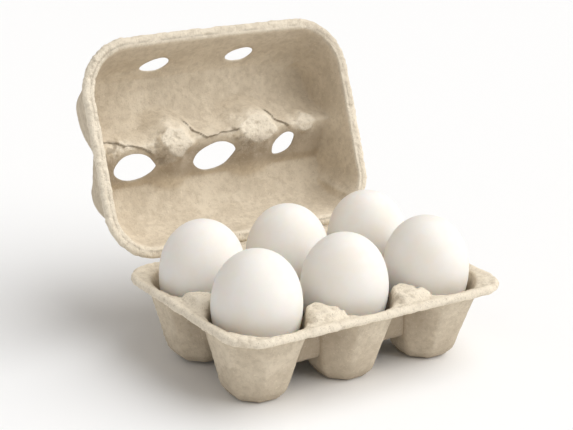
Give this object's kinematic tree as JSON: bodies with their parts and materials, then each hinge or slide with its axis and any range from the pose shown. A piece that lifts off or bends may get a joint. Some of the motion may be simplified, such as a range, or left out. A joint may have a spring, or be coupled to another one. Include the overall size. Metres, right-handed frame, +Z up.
{
  "type": "egg carton with eggs",
  "caption": "Open hinged carton of moulded pulp with an octagonal-footed cup for each white egg, and a domed lid with view holes and latch slots folded back.",
  "frame": {"origin": "on the plane that the feet stand on, under the middle of the whole open carton's box", "axes": "+X along the row of three cups, +Y towards the hinge and the open lid, +Z up"},
  "size_m": [0.1576, 0.1761, 0.1455],
  "materials": {
    "moulded_pulp": "bare undyed moulded pulp, fibrous and fully matt",
    "white_eggshell": "white eggshell, fine pored, low satin"
  },
  "bodies": {
    "tray": {"tray": "moulded_pulp", "egg_front_left": "white_eggshell", "egg_front_middle": "white_eggshell", "egg_front_right": "white_eggshell", "egg_back_left": "white_eggshell", "egg_back_middle": "white_eggshell", "egg_back_right": "white_eggshell"},
    "lid": {"lid": "moulded_pulp"}
  },
  "joints": [
    {"name": "lid_hinge", "type": "hinge", "parent": "tray", "child": "lid", "pos_m": [0, 0.0253, 0.0412], "axis": [-1, 0, 0], "range_deg": [-111, 69]}
  ]
}
